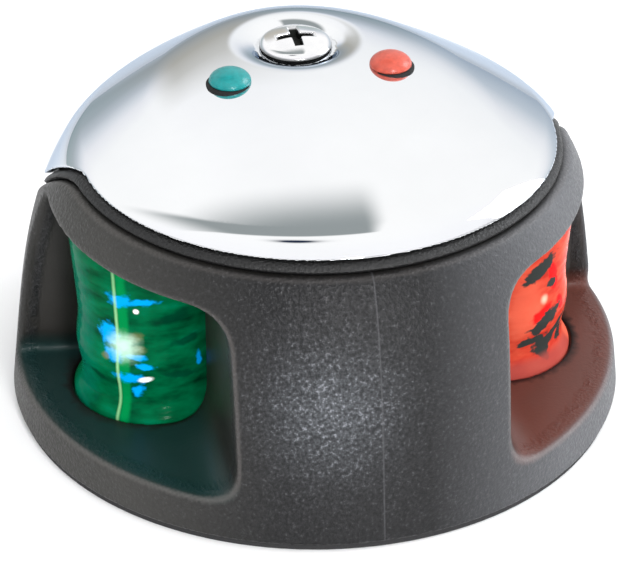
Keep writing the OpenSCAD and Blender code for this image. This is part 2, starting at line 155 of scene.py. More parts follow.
# Cover screw, washer and tell-tales
SCREW_Y = middle_mm("cover_screw")[1]
SCREW_LOW, SCREW_HIGH = box_mm("cover_screw")
HEAD_R = 4.8
HEAD_H = 1.6
CAP_H = 1.0
HEAD_Z = SCREW_HIGH[2] - HEAD_H
SHANK_R = 2.0
THREAD_PITCH = 0.7
THREAD_DEPTH = 0.28
RECESS_REACH = 2.9
RECESS_HALF = 0.6
RECESS_H = 1.15
DISH_Z = 42.7
DISH_FLAT_R = 5.3
DISH_SLOPE = 0.625
BOSS_R = 6.4
WASHER_SEAT_R = 4.4
WASHER_LOW, WASHER_HIGH = box_mm("screw_washer")
TELLTALE_X = 10.4
TELLTALE_Y = middle_mm("green_telltale")[1]
TELLTALE_LOW, TELLTALE_HIGH = box_mm("green_telltale")
GROMMET_LOW, GROMMET_HIGH = box_mm("telltale_grommets")
FLANGE_R = 3.1
RIM_R = 3.05
STEM_R = 1.8
CAP_R = 2.7
CAP_EDGE_H = 0.12


# ---------------------------------------------------------------- field shapes

def larger(a, b, k):
    """The larger of two fields: an intersection whose crease is rounded over a width of k."""
    h = np.maximum(k - np.abs(a - b), 0.0) / k
    return np.maximum(a, b) + h * h * k * 0.25


def smaller(a, b, k):
    """The smaller of two fields: a union whose crease is filled over a width of k."""
    return -larger(-a, -b, k)


def cut(a, b, k):
    """Field a with field b taken away."""
    return larger(a, -b, k)


def side_field(x, y, z, inset=0.0):
    """Negative inside the body's side wall."""
    share = np.maximum(z, 0.0) / RIM_Z
    radius = BASE_R - DRAFT * z - CROWN * share ** SIDE_POWER - inset
    slope = DRAFT + CROWN * SIDE_POWER / RIM_Z * share ** (SIDE_POWER - 1)
    return (np.hypot(x, y) - radius) / np.sqrt(1 + slope ** 2)


def dome_field(x, y, z, inset=0.0):
    """Negative under the leaning dome."""
    across = (y - DOME_Y) * math.cos(DOME_TILT) - z * math.sin(DOME_TILT)
    up = (y - DOME_Y) * math.sin(DOME_TILT) + z * math.cos(DOME_TILT)
    rho = np.maximum(np.hypot(x, across), 1e-6)
    slope = DOME_FALL * DOME_POWER * rho ** (DOME_POWER - 1)
    return (up - DOME_PEAK + inset * 1.1 + DOME_FALL * rho ** DOME_POWER) / np.sqrt(1 + slope ** 2)


def crown_field(x, y, z, inset=0.0):
    """Negative under the nearly flat crown."""
    reach = np.sqrt(x ** 2 + (y - CROWN_Y) ** 2 + (z - CROWN_Z + CROWN_R) ** 2)
    return reach - CROWN_R + inset


def cover_top_field(x, y, z, inset=0.0):
    """Negative inside the whole outer shape of body and cover."""
    dome = larger(side_field(x, y, z, inset), dome_field(x, y, z, inset), 0.8)
    return larger(dome, crown_field(x, y, z, inset), 1.5)


def edge_field(y, z, lift=0.0):
    """Negative below the cover's edge line, moved up by lift."""
    t = np.clip((y - FALL_FRONT_Y) / (FALL_REAR_Y - FALL_FRONT_Y), 0.0, 1.0)
    fall = TAIL_DROP * t * t * (3 - 2 * t)
    slope = TAIL_DROP * 6 * t * (1 - t) / (FALL_REAR_Y - FALL_FRONT_Y)
    return (z - RIM_Z - lift + fall) / np.sqrt(1 + slope ** 2)


def pole_field(x, y, centre_x, centre_y, radius):
    """Negative inside an endless upright pole."""
    return np.hypot(x - centre_x, y - centre_y) - radius


def between(z, low, high):
    """Negative between two heights."""
    return np.maximum(low - z, z - high)


def window_field(x, y, z):
    """Negative inside the two windows, which are mirror images."""
    u = np.abs(x)
    column = larger(WINDOW_X - u, LEDGE_Z - z, 5.0)
    column = larger(column, z - ROOF_Z, 5.0)
    flare = 0.7 * np.clip((u - 31.0) / 5.0, 0.0, 1.0) ** 2
    foot = 1.4 * np.clip((9.5 - z) / 4.0, 0.0, 1.0) ** 2
    back = y - WINDOW_BACK_Y - flare - foot
    return larger(column, back, 2.0)


def housing_field(x, y, z):
    """The black body: side wall, collar inside the cover, windows, lens pockets and posts."""
    u = np.abs(x)
    main = larger(side_field(x, y, z), edge_field(y, z, -SEAL_T - EDGE_GAP), 0.8)
    collar = larger(side_field(x, y, z, COLLAR_T), z - (RIM_Z - SEAL_T - EDGE_GAP), 0.4)
    solid = np.minimum(main, collar)
    cavity = larger(side_field(x, y, z, WALL), z - ROOF_Z, 1.0)
    block = np.maximum(np.maximum(LENS_CUT_X - u, y - WINDOW_BACK_Y - BACK_WALL), LEDGE_Z - LEDGE_T - z)
    cavity = cut(cavity, block, 0.6)
    solid = cut(solid, cavity, 0.4)
    solid = cut(solid, np.maximum(np.hypot(x, y) - SEAL_INNER_R, WEB_Z - z), 0.4)
    solid = cut(solid, window_field(x, y, z), 0.9)
    pocket = larger(
        np.hypot(u - LENS_X, y - LENS_Y) - POCKET_R, between(z, POCKET_FLOOR_Z, POCKET_TOP_Z - 0.3), 0.8
    )
    solid = cut(solid, pocket, 0.3)
    for hole_y in DECK_HOLES_Y:
        tube = np.maximum(pole_field(x, y, 0, hole_y, DECK_TUBE_R), between(z, PLATE_Z, WEB_Z))
        solid = smaller(solid, tube, 0.5)
    for place in PLATE_SCREWS:
        post = np.maximum(pole_field(x, y, *place, PLATE_POST_R), between(z, PLATE_Z, ROOF_Z + 1))
        solid = smaller(solid, post, 0.5)
    for place in BOARD_SCREWS:
        post = np.maximum(pole_field(x, y, *place, BOARD_POST_R), between(z, ROOF_Z + 1, BOARD_Z))
        solid = smaller(solid, post, 0.6)
    post = np.maximum(pole_field(x, y, 0, SCREW_Y, POST_R), between(z, POST_FOOT_Z, POST_TOP_Z))
    solid = smaller(solid, post, 1.0)
    for hole_y in DECK_HOLES_Y:
        solid = cut(solid, pole_field(x, y, 0, hole_y, DECK_BORE_R), 0.5)
    bore = np.maximum(pole_field(x, y, 0, SCREW_Y, INSERT_HOLE_R), INSERT_HOLE_Z - z)
    solid = cut(solid, bore, 0.3)
    wires = np.maximum(pole_field(x, y, 0, WIRE_Y, WIRE_HOLE_R), ROOF_Z - 1 - z)
    solid = cut(solid, wires, 0.4)
    return larger(solid, FOOT_Z - z, 0.5)


def seal_field(x, y, z):
    """The rough moulded lip that follows the cover's edge."""
    up = edge_field(y, z, -SEAL_T - EDGE_GAP)
    groove = 0.75 * np.clip(1 - up / 0.55, 0.0, 1.0)
    lip = larger(side_field(x, y, z, SEAL_INSET + groove), edge_field(y, z, -EDGE_GAP), 0.8)
    lip = larger(lip, -up, 0.4)
    collar = np.maximum(side_field(x, y, z, COLLAR_T), z - (RIM_Z - SEAL_T - EDGE_GAP))
    lip = cut(lip, collar, 0.2)
    return larger(lip, SEAL_INNER_R - np.hypot(x, y), 0.3)


def dish_field(x, y, z):
    """Negative below the dished seat round the cover screw."""
    rho = np.hypot(x, y - SCREW_Y)
    rise = DISH_SLOPE * np.maximum(rho - DISH_FLAT_R, 0.0)
    return (z - DISH_Z - rise) / np.where(rho > DISH_FLAT_R, math.hypot(1.0, DISH_SLOPE), 1.0)


def cover_field(x, y, z):
    """The chrome cover: a thin dome with a screw boss, a dish and its holes."""
    outer = larger(cover_top_field(x, y, z), dish_field(x, y, z), 1.2)
    shell = cut(outer, cover_top_field(x, y, z, COVER_T), 0.3)
    boss = larger(pole_field(x, y, 0, SCREW_Y, BOSS_R), POST_TOP_Z + EDGE_GAP - z, 0.5)
    shell = smaller(shell, boss, 1.0)
    u = np.abs(x)
    pad = np.maximum(pole_field(u, y, TELLTALE_X, TELLTALE_Y, FLANGE_R), 41.0 - z)
    shell = np.maximum(np.minimum(shell, pad), outer)
    shell = cut(shell, edge_field(y, z), 0.35)
    washer = np.maximum(pole_field(x, y, 0, SCREW_Y, WASHER_SEAT_R), WASHER_LOW[2] - 0.05 - z)
    shell = cut(shell, washer, 0.2)
    shell = cut(shell, pole_field(x, y, 0, SCREW_Y, SHANK_R + 0.4), 0.2)
    return cut(shell, pole_field(u, y, TELLTALE_X, TELLTALE_Y, STEM_R), 0.15)


def screw_field(x, y, z):
    """Pan-head screw with a cross recess and a rolled thread."""
    rho = np.hypot(x, y - SCREW_Y)
    up = z - HEAD_Z
    cap_r = (HEAD_R ** 2 + CAP_H ** 2) / (2 * CAP_H)
    cap = np.sqrt(rho ** 2 + (up - HEAD_H + cap_r) ** 2) - cap_r
    head = larger(larger(rho - HEAD_R, cap, 0.9), -up, 0.3)
    for along, across in ((x, y - SCREW_Y), (y - SCREW_Y, x)):
        depth = HEAD_H - up
        wing = np.maximum(
            np.abs(along) - RECESS_REACH + depth * 1.1, np.abs(across) - RECESS_HALF + depth * 0.15
        )
        head = cut(head, np.maximum(wing, depth - RECESS_H), 0.2)
    turn = np.arctan2(y - SCREW_Y, x) / (2 * math.pi)
    thread = THREAD_DEPTH * np.abs(((z / THREAD_PITCH - turn) % 1.0) * 2 - 1)
    tip = np.maximum(SCREW_LOW[2] + 0.3 - z, 0.0)
    shank = np.maximum(rho - SHANK_R + thread + tip, between(up, -(HEAD_Z - SCREW_LOW[2]), 0.3))
    return smaller(head, shank, 0.3)


# ---------------------------------------------------------------- meshes from fields

def crossings(values, low, step):
    """Points of a surface net, one in every cell that the surface crosses, and each cell's point number."""
    cells = tuple(n - 1 for n in values.shape)
    total = np.zeros(cells + (3,))
    number = np.zeros(cells)
    index = np.meshgrid(*[np.arange(n) for n in values.shape], indexing="ij")
    for axis in range(3):
        start = [slice(None)] * 3
        end = [slice(None)] * 3
        start[axis] = slice(0, -1)
        end[axis] = slice(1, None)
        first = values[tuple(start)]
        second = values[tuple(end)]
        crossed = (first < 0) != (second < 0)
        share = np.where(crossed, first / np.where(crossed, first - second, 1.0), 0.0)
        others = [i for i in range(3) if i != axis]
        for shift in ((0, 0), (0, 1), (1, 0), (1, 1)):
            part = [slice(None)] * 3
            for other, offset in zip(others, shift):
                part[other] = slice(offset, offset + cells[other])
            part = tuple(part)
            hit = crossed[part]
            number += hit
            for i in range(3):
                place = index[i][tuple(start)][part] + (share[part] if i == axis else 0.0)
                total[..., i] += np.where(hit, place, 0.0)
    used = number > 0
    points = total[used] / number[used][:, None] * step + low
    ids = np.full(cells, -1)
    ids[used] = np.arange(len(points))
    return points, ids


def net_quads(values, ids):
    """Quads of a surface net, facing out of the solid."""
    quads = []
    for axis in range(3):
        b, c = (axis + 1) % 3, (axis + 2) % 3
        inner = [slice(None)] * 3
        inner[b] = slice(1, -1)
        inner[c] = slice(1, -1)
        core = values[tuple(inner)]
        first = np.take(core, range(core.shape[axis] - 1), axis)
        second = np.take(core, range(1, core.shape[axis]), axis)
        at = np.argwhere((first < 0) != (second < 0))
        outward = (first < 0)[tuple(at.T)]
        corners = []
        for shift_b, shift_c in ((0, 0), (1, 0), (1, 1), (0, 1)):
            cell = at.copy()
            cell[:, b] += shift_b
            cell[:, c] += shift_c
            corners.append(ids[tuple(cell.T)])
        quad = np.stack(corners, 1)
        quad[~outward] = quad[~outward][:, ::-1]
        quads.append(quad)
    return np.concatenate(quads)


def slope_of(field, points, reach=0.02):
    """Gradient of a field at points."""
    columns = []
    for axis in range(3):
        ahead = points.copy()
        behind = points.copy()
        ahead[:, axis] += reach
        behind[:, axis] -= reach
        columns.append((field(*ahead.T) - field(*behind.T)) / (2 * reach))
    return np.stack(columns, 1)


def settle(field, points, step):
    """Moves points onto the surface, never far in one go."""
    for _ in range(3):
        gradient = slope_of(field, points)
        size = np.maximum((gradient ** 2).sum(1), 0.05)
        move = np.clip(field(*points.T) / size, -step * 0.4, step * 0.4)
        points = points - move[:, None] * gradient
    return points


def relax(points, quads):
    """Draws each point halfway to the middle of its neighbours."""
    edges = np.concatenate([quads[:, [i, (i + 1) % 4]] for i in range(4)])
    count = np.bincount(edges[:, 0], minlength=len(points))[:, None]
    around = np.stack(
        [np.bincount(edges[:, 0], points[edges[:, 1], i], len(points)) for i in range(3)], 1
    )
    return np.where(count > 0, (points + around / np.maximum(count, 1)) / 2, points)


def mesh_object(name, points, faces):
    """Object with a mesh of points in millimetres, smooth shaded."""
    mesh = bpy.data.meshes.new(name)
    mesh.from_pydata((np.asarray(points) * MM).tolist(), [], [list(map(int, f)) for f in faces])
    mesh.validate()
    mesh.shade_smooth()
    obj = bpy.data.objects.new(name, mesh)
    bpy.context.scene.collection.objects.link(obj)
    return obj


def thin_out(obj):
    """Collapses the flattest parts of a mesh until it has few enough triangles."""
    triangles = sum(len(polygon.vertices) - 2 for polygon in obj.data.polygons)
    if triangles <= MOST_TRIANGLES:
        return
    modifier = obj.modifiers.new("thin_out", "DECIMATE")
    modifier.ratio = MOST_TRIANGLES / triangles
    full = obj.data
    obj.data = bpy.data.meshes.new_from_object(obj.evaluated_get(bpy.context.evaluated_depsgraph_get()))
    obj.modifiers.clear()
    bpy.data.meshes.remove(full)
    obj.data.name = obj.name


def skin(name, field, low, high, step):
    """Closed mesh of the surface where a field is 0, with the field's own normals."""
    low = np.array(low, float)
    counts = np.ceil((np.array(high, float) - low) / step).astype(int) + 1
    axes = [low[i] + step * np.arange(counts[i]) for i in range(3)]
    values = field(*np.meshgrid(*axes, indexing="ij"))
    points, ids = crossings(values, low, step)
    quads = net_quads(values, ids)
    for _ in range(2):
        points = settle(field, relax(points, quads), step)
    obj = mesh_object(name, points, quads)
    thin_out(obj)
    points = np.empty(len(obj.data.vertices) * 3)
    obj.data.vertices.foreach_get("co", points)
    points = points.reshape(-1, 3) / MM
    gradient = slope_of(field, points)
    normals = gradient / np.maximum(np.linalg.norm(gradient, axis=1, keepdims=True), 1e-9)
    obj.data.normals_split_custom_set_from_vertices(normals.tolist())
    return obj, points


def paint(obj, name, values):
    """Stores one number per point for the materials to read."""
    layer = obj.data.attributes.new(name, "FLOAT", "POINT")
    layer.data.foreach_set("value", np.asarray(values, np.float32))


def lathe(name, profile, centre, segments=96):
    """Closed solid of revolution about an upright axis; profile is (radius, height), foot first."""
    points, faces = [], []
    for radius, height in profile:
        for i in range(segments):
            angle = 2 * math.pi * i / segments
            points.append((centre[0] + radius * math.cos(angle),
                           centre[1] + radius * math.sin(angle), height))
    for ring in range(len(profile) - 1):
        for i in range(segments):
            j = (i + 1) % segments
            a = ring * segments
            b = a + segments
            faces.append((a + i, a + j, b + j, b + i))
    last = (len(profile) - 1) * segments
    faces.append([last + i for i in range(segments)])
    faces.append([i for i in range(segments)][::-1])
    return mesh_object(name, points, faces)


# ---------------------------------------------------------------- lenses with painted light

# The lenses' colours are painted light: the LED's glow, lit bands, highlights and glints, and dark painted
# reflections.
# Tones are the stops of a ramp. A layer is (colour, share, softness, raggedness, ellipses), and an
# ellipse is (across, up, half width, half height, tilt in degrees), in mm from the lit point.
WHITE = (1.0, 1.0, 1.0)
GREEN_TONES = (
    (0.30, (0.0, 0.024, 0.01)), (0.44, (0.0, 0.063, 0.022)), (0.58, (0.0, 0.099, 0.036)),
    (0.75, (0.0, 0.138, 0.063)),
)
GREEN_LAYERS = (
    # painted light, teal towards the outer side, and painted shade, deeper green towards the bow
    ((0.0, 0.135, 0.085), 0.6, 0.6, 0.8, ((-7.5, 0.0, 3.2, 13.0, 0.0),)),
    ((0.0, 0.030, 0.014), 0.8, 0.5, 1.6, (
        (8.0, 4.5, 2.6, 0.8, 15), (10.0, 0.6, 2.2, 0.6, 5), (9.0, -4.2, 2.5, 0.6, -8),
        (-3.4, -5.6, 1.6, 0.5, -15))),
    # painted light: a broad lit band, then the blue painted highlights of the moulded ribs
    ((0.0, 0.20, 0.050), 0.85, 0.4, 0.4, ((0.95, 0.0, 0.8, 15.0, 0),)),
    ((0.0, 0.29, 0.74), 1.0, 0.45, 2.2, (
        (-1.4, 1.4, 1.4, 1.5, 20), (-0.7, -1.4, 1.2, 1.0, 0), (2.7, -1.4, 1.3, 0.35, 0),
        (4.0, -2.7, 1.2, 0.4, 0), (0.6, 7.0, 1.5, 0.9, 0), (3.8, 7.0, 1.7, 0.5, 0),
        (1.6, -4.6, 1.9, 0.7, 0), (2.8, -6.6, 0.9, 0.7, 30), (11.6, -2.5, 0.4, 0.9, 0))),
    # painted light: dull star arms, a bright line and core, then white painted glints
    ((0.11, 0.13, 0.05), 0.85, 0.5, 1.0, (
        (2.5, 1.4, 1.2, 0.7, 35), (2.7, -0.2, 1.2, 0.6, 0), (-1.9, -2.0, 0.6, 0.5, 0))),
    ((0.25, 0.52, 0.24), 0.85, 0.9, 0.0, ((0.0, 0.0, 0.20, 15.0, 0),)),
    ((0.46, 0.70, 0.56), 0.95, 0.85, 0.9, ((0.9, 0.0, 1.75, 1.6, 0),)),
    (WHITE, 1.0, 0.5, 0.6, ((3.9, -4.6, 0.95, 0.36, 14), (2.9, 5.6, 0.36, 0.34, 0))),
)
RED_TONES = (
    (0.30, (0.33, 0.012, 0.008)), (0.45, (0.45, 0.036, 0.020)), (0.58, (0.52, 0.064, 0.034)),
    (0.75, (0.56, 0.105, 0.062)),
)
RED_LAYERS = (
    # painted light: a light side towards the bow, and saturated flashes
    ((0.60, 0.098, 0.054), 0.8, 0.5, 0.8, ((-3.2, -0.8, 2.8, 4.2, 0),)),
    ((0.66, 0.006, 0.008), 0.95, 0.3, 1.2, (
        (1.7, 2.6, 0.9, 2.6, 20), (-0.6, -2.3, 2.0, 0.8, 25), (3.6, -2.2, 0.8, 1.2, 40))),
    # painted dark reflections between the lit ribs
    ((0.028, 0.032, 0.030), 1.0, 0.14, 1.5, (
        (-1.1, 4.5, 2.9, 1.15, 32), (1.4, 1.8, 0.9, 0.8, 0), (0.2, -3.7, 3.1, 1.15, 26),
        (2.8, -6.2, 2.7, 0.85, 30), (4.6, -7.3, 1.0, 1.2, 0), (-2.0, -6.1, 2.2, 0.6, 4),
        (0.3, -7.6, 1.9, 1.7, 0))),
    # dull foot ring and light rim
    # painted shade on the dull foot ring, a painted highlight on the rim, and a bright painted core
    ((0.30, 0.055, 0.045), 0.8, 0.5, 0.2, ((0.0, -10.2, 16.0, 1.3, 0),)),
    ((0.68, 0.120, 0.065), 0.9, 0.25, 0.15, ((10.0, 2.0, 3.1, 16.0, 0),)),
    ((1.0, 0.42, 0.30), 0.95, 0.8, 0.3, ((0.0, -0.3, 0.55, 0.55, 0),)),
)


# ---------------------------------------------------------------- materials

def material(name):
    """New node material; returns it with its node tree and its shader."""
    made = bpy.data.materials.new(name)
    made.use_nodes = True
    tree = made.node_tree
    return made, tree, tree.nodes["Principled BSDF"]


def node(tree, kind, inputs=None, **settings):
    """Adds a node, sets its properties and its inputs: values, or sockets to link from."""
    made = tree.nodes.new(kind)
    for key, value in settings.items():
        setattr(made, key, value)
    for key, value in (inputs or {}).items():
        if isinstance(value, bpy.types.NodeSocket):
            tree.links.new(value, made.inputs[key])
        else:
            made.inputs[key].default_value = value
    return made


def place_of(tree):
    """The point being shaded, in metres in the object's own frame."""
    return node(tree, "ShaderNodeTexCoord").outputs["Object"]


def noise(tree, scale, detail=3.0, roughness=0.5, vector=None):
    """Noise factor; scale is in features per metre."""
    made = node(tree, "ShaderNodeTexNoise", {
        "Vector": vector or place_of(tree), "Scale": scale, "Detail": detail, "Roughness": roughness})
    return made.outputs["Fac"]


def ramp(tree, factor, *stops):
    """Colour ramp through (place, grey or colour) stops."""
    made = node(tree, "ShaderNodeValToRGB", {"Fac": factor})
    elements = made.color_ramp.elements
    while len(elements) < len(stops):
        elements.new(0.5)
    for element, (place, colour) in zip(elements, stops):
        element.position = place
        element.color = (colour,) * 3 + (1,) if isinstance(colour, float) else (*colour, 1)
    return made.outputs["Color"]


def mix(tree, factor, first, second):
    """Colour mix; each side is a colour or a socket."""
    made = tree.nodes.new("ShaderNodeMix")
    made.data_type = "RGBA"
    for key, value in ((0, factor), (6, first), (7, second)):
        if isinstance(value, bpy.types.NodeSocket):
            tree.links.new(value, made.inputs[key])
        else:
            made.inputs[key].default_value = value if key == 0 else (*value, 1)
    return made.outputs[2]


def math_node(tree, operation, *values):
    """Math node on numbers or sockets."""
    made = node(tree, "ShaderNodeMath", operation=operation)
    for i, value in enumerate(values):
        if isinstance(value, bpy.types.NodeSocket):
            tree.links.new(value, made.inputs[i])
        else:
            made.inputs[i].default_value = value
    return made.outputs[0]


def bump(tree, shader, height, distance, strength):
    """Bump from a height socket; distance is in metres."""
    made = node(tree, "ShaderNodeBump", {"Height": height, "Distance": distance, "Strength": strength})
    tree.links.new(made.outputs["Normal"], shader.inputs["Normal"])


def attribute(tree, name):
    """A number stored by paint()."""
    return node(tree, "ShaderNodeAttribute", attribute_name=name).outputs["Fac"]


def grained_plastic(name, colour, grain=1.0):
    """Black moulded plastic with a coarse spark-eroded grain, as on the body."""
    made, tree, shader = material(name)
    fine = noise(tree, 2600.0, 2.0, 0.55)
    broad = noise(tree, 160.0, 3.0)
    tone = ramp(tree, fine, (0.35, tuple(c * 0.6 for c in colour)), (0.7, tuple(c * 1.7 for c in colour)))
    worn = mix(tree, ramp(tree, broad, (0.4, 0.0), (0.75, 0.25)), tone, tuple(c * 1.5 for c in colour))
    tree.links.new(worn, shader.inputs["Base Color"])
    tree.links.new(ramp(tree, fine, (0.3, 0.62), (0.7, 0.4)), shader.inputs["Roughness"])
    bump(tree, shader, fine, 0.00016 * grain, 0.8)
    return made


def seam_line(tree):
    """1 along the mould's parting line, which runs down the middle of the front column."""
    place = node(tree, "ShaderNodeSeparateXYZ", {"Vector": place_of(tree)}).outputs
    half_width = 0.16 * MM
    away = math_node(tree, "DIVIDE", math_node(tree, "ABSOLUTE", place["X"]), half_width)
    near = math_node(tree, "SUBTRACT", 1.0, away)
    ahead = math_node(tree, "LESS_THAN", place["Y"], 0.0)
    return math_node(tree, "MULTIPLY", math_node(tree, "MAXIMUM", near, 0.0), ahead)


def housing_plastic():
    """Body plastic: coarse grain outside, smoother in the windows, with painted light and shade: the lenses'
    light on the ledges, highlights, lit sides and shadow round the lens seats.
    """
    made, tree, shader = material("housing_plastic")
    fine = noise(tree, 2300.0, 2.0, 0.55)
    broad = noise(tree, 160.0, 3.0)
    grain = attribute(tree, "grain")
    tone = ramp(tree, fine, (0.38, (0.004, 0.004, 0.0045)), (0.62, (0.011, 0.011, 0.012)),
                (0.78, (0.05, 0.05, 0.053)))
    smooth_tone = ramp(tree, broad, (0.3, (0.013, 0.012, 0.010)), (0.7, (0.021, 0.019, 0.017)))
    base = mix(tree, grain, smooth_tone, tone)
    sparkle = ramp(tree, fine, (0.36, (0.020, 0.022, 0.025)), (0.58, (0.075, 0.08, 0.088)),
                   (0.74, (0.26, 0.27, 0.30)))
    # Painted light and shade over the base colour: the lenses' green and red light on the ledges, a sparkling
    # highlight on the front column, a warmer lit starboard side and a cooler lit port side, highlights along
    # the edges, and shadow round each lens seat.
    painted = (
        ("painted_green_lens_light", (0.004, 0.031, 0.030)), ("painted_red_lens_light", (0.150, 0.052, 0.038)), ("painted_highlight", sparkle),
        ("painted_warm_side_light", (0.062, 0.060, 0.054)), ("painted_cool_side_light", (0.200, 0.206, 0.220)),
        ("painted_edge_highlight", (0.21, 0.19, 0.18)), ("seat", (0.0006, 0.0006, 0.0006)),
    )
    for name, tint in painted:
        base = mix(tree, attribute(tree, name), base, tint)
    base = mix(tree, math_node(tree, "MULTIPLY", seam_line(tree), 0.6), base, (0.07, 0.07, 0.075))
    tree.links.new(base, shader.inputs["Base Color"])
    smooth_rough = ramp(tree, broad, (0.3, 0.36), (0.7, 0.44))
    coarse_rough = ramp(tree, fine, (0.3, 0.58), (0.75, 0.33))
    tree.links.new(mix(tree, grain, smooth_rough, coarse_rough), shader.inputs["Roughness"])
    height = math_node(tree, "MULTIPLY", fine, math_node(tree, "MULTIPLY_ADD", grain, 0.9, 0.1))
    shader.inputs["Specular IOR Level"].default_value = 0.3
    bump(tree, shader, height, 0.0002, 0.9)
    return made


def chrome(name, colour=(0.86, 0.87, 0.88), roughness=0.035):
    """Mirror chrome with faint haze and polishing marks."""
    made, tree, shader = material(name)
    shader.inputs["Metallic"].default_value = 1.0
    shader.inputs["Specular Tint"].default_value = (0.48, 0.55, 0.64, 1.0)
    haze = noise(tree, 90.0, 4.0)
    tree.links.new(
        ramp(tree, haze, (0.35, tuple(c * 0.97 for c in colour)), (0.7, colour)), shader.inputs["Base Color"])
    tree.links.new(ramp(tree, haze, (0.4, roughness), (0.8, roughness * 1.6)), shader.inputs["Roughness"])
    bump(tree, shader, noise(tree, 60.0, 2.0), 0.00002, 0.3)
    return made


def soft_step(tree, value, low, high):
    """0 below low, 1 above high, smooth between."""
    made = node(tree, "ShaderNodeMapRange", {
        "Value": value, "From Min": low, "From Max": high}, interpolation_type="SMOOTHSTEP")
    return made.outputs["Result"]


def screw_metal():
    """Polished screw with painted shade: dark in the cross recess and under the edge of the head."""
    made, tree, shader = material("screw_chrome")
    painted_shade = attribute(tree, "painted_shade")
    marks = noise(tree, 700.0, 3.0)
    unshaded = ramp(tree, marks, (0.35, (0.84, 0.84, 0.85)), (0.7, (0.90, 0.90, 0.90)))
    tree.links.new(mix(tree, painted_shade, unshaded, (0.018, 0.020, 0.018)), shader.inputs["Base Color"])
    tree.links.new(ramp(tree, painted_shade, (0.0, 0.08), (1.0, 0.55)), shader.inputs["Roughness"])
    shader.inputs["Metallic"].default_value = 1.0
    bump(tree, shader, marks, 0.00001, 0.3)
    return made


def bell(tree, peak, *parts):
    """Bell-shaped spot that rises to peak; each part is (socket, middle, width)."""
    total = None
    for socket, middle, width in parts:
        away = math_node(tree, "DIVIDE", math_node(tree, "SUBTRACT", socket, middle), width)
        square = math_node(tree, "MULTIPLY", away, away)
        total = square if total is None else math_node(tree, "ADD", total, square)
    fall = math_node(tree, "POWER", math.e, math_node(tree, "MULTIPLY", total, -1.0))
    return math_node(tree, "MULTIPLY", fall, peak)


def ellipses(tree, place, wobble, soft, spots):
    """1 inside any of some ellipses: (across, up, half width, half height, tilt in degrees)."""
    nearest = None
    for across, up, wide, high, tilt in spots:
        local = node(tree, "ShaderNodeMapping", {
            "Vector": place, "Location": (across, 0.0, up), "Rotation": (0.0, -math.radians(tilt), 0.0),
            "Scale": (wide, 1.0, high)}, vector_type="TEXTURE").outputs["Vector"]
        reach = node(tree, "ShaderNodeVectorMath", {0: local}, operation="LENGTH").outputs["Value"]
        nearest = reach if nearest is None else math_node(tree, "MINIMUM", nearest, reach)
    worn = math_node(tree, "ADD", nearest, wobble)
    return soft_step(tree, worn, 1 + soft, 1 - soft)


def painted_light_lens(name, tones, layers, strength):
    """Tinted moulded lens over a lit LED, with its light painted on: flowing tones, then layers of coloured
    patches that stand for glow, highlights, glints and dark reflections, also given off as a faint emission.

    The mesh stores "across" (round the lens from the lit line) and "up" (from the LED), both in mm.
    """
    made, tree, shader = material(name)
    place = node(tree, "ShaderNodeCombineXYZ", {
        "X": attribute(tree, "across"), "Y": 0.0, "Z": attribute(tree, "up")}).outputs["Vector"]
    flow = noise(tree, 1.0, 3.0, 0.55, node(tree, "ShaderNodeMapping", {
        "Vector": place, "Scale": (0.16, 0.16, 0.42)}).outputs["Vector"])
    rough = noise(tree, 1.0, 2.0, 0.5, node(tree, "ShaderNodeMapping", {
        "Vector": place, "Scale": (0.7, 0.7, 1.1)}).outputs["Vector"])
    centred = math_node(tree, "SUBTRACT", rough, 0.5)
    colour = ramp(tree, flow, *tones)
    for tint, share, soft, ragged, spots in layers:
        inside = ellipses(tree, place, math_node(tree, "MULTIPLY", centred, ragged), soft, spots)
        colour = mix(tree, math_node(tree, "MULTIPLY", inside, share), colour, tint)
    tree.links.new(colour, shader.inputs["Base Color"])
    # The painted light is also given off as emission, so the lens glows.
    tree.links.new(colour, shader.inputs["Emission Color"])
    shader.inputs["Emission Strength"].default_value = strength
    shader.inputs["Roughness"].default_value = 0.14
    shader.inputs["Specular IOR Level"].default_value = 0.02
    shader.inputs["IOR"].default_value = 1.45
    bump(tree, shader, flow, 0.0003, 0.4)
    return made


def plain_plastic(name, colour, roughness=0.4, coat=0.0, grain=0.00004, emission=0.0):
    """Small moulded part: slight colour variation, fine grain."""
    made, tree, shader = material(name)
    fine = noise(tree, 1800.0, 3.0)
    dark = tuple(c * 0.85 for c in colour)
    light = tuple(min(1.0, c * 1.12) for c in colour)
    tree.links.new(ramp(tree, fine, (0.3, dark), (0.7, light)), shader.inputs["Base Color"])
    tree.links.new(ramp(tree, fine, (0.3, roughness), (0.7, roughness * 1.25)), shader.inputs["Roughness"])
    shader.inputs["Coat Weight"].default_value = coat
    if emission:
        shader.inputs["Emission Color"].default_value = (*colour, 1)
        shader.inputs["Emission Strength"].default_value = emission
    bump(tree, shader, fine, grain, 0.5)
    return made


def metal(name, colour, roughness=0.3, brushed=False):
    """Plain metal with fine marks, drawn out along Z when brushed."""
    made, tree, shader = material(name)
    shader.inputs["Metallic"].default_value = 1.0
    stretch = (900.0, 900.0, 60.0) if brushed else (900.0, 900.0, 900.0)
    drawn = node(tree, "ShaderNodeMapping", {"Vector": place_of(tree), "Scale": stretch})
    marks = noise(tree, 1.0, 3.0, 0.5, drawn.outputs["Vector"])
    tree.links.new(
        ramp(tree, marks, (0.3, tuple(c * 0.8 for c in colour)), (0.7, colour)), shader.inputs["Base Color"])
    tree.links.new(ramp(tree, marks, (0.3, roughness), (0.7, roughness * 1.4)), shader.inputs["Roughness"])
    bump(tree, shader, marks, 0.00002, 0.4)
    return made


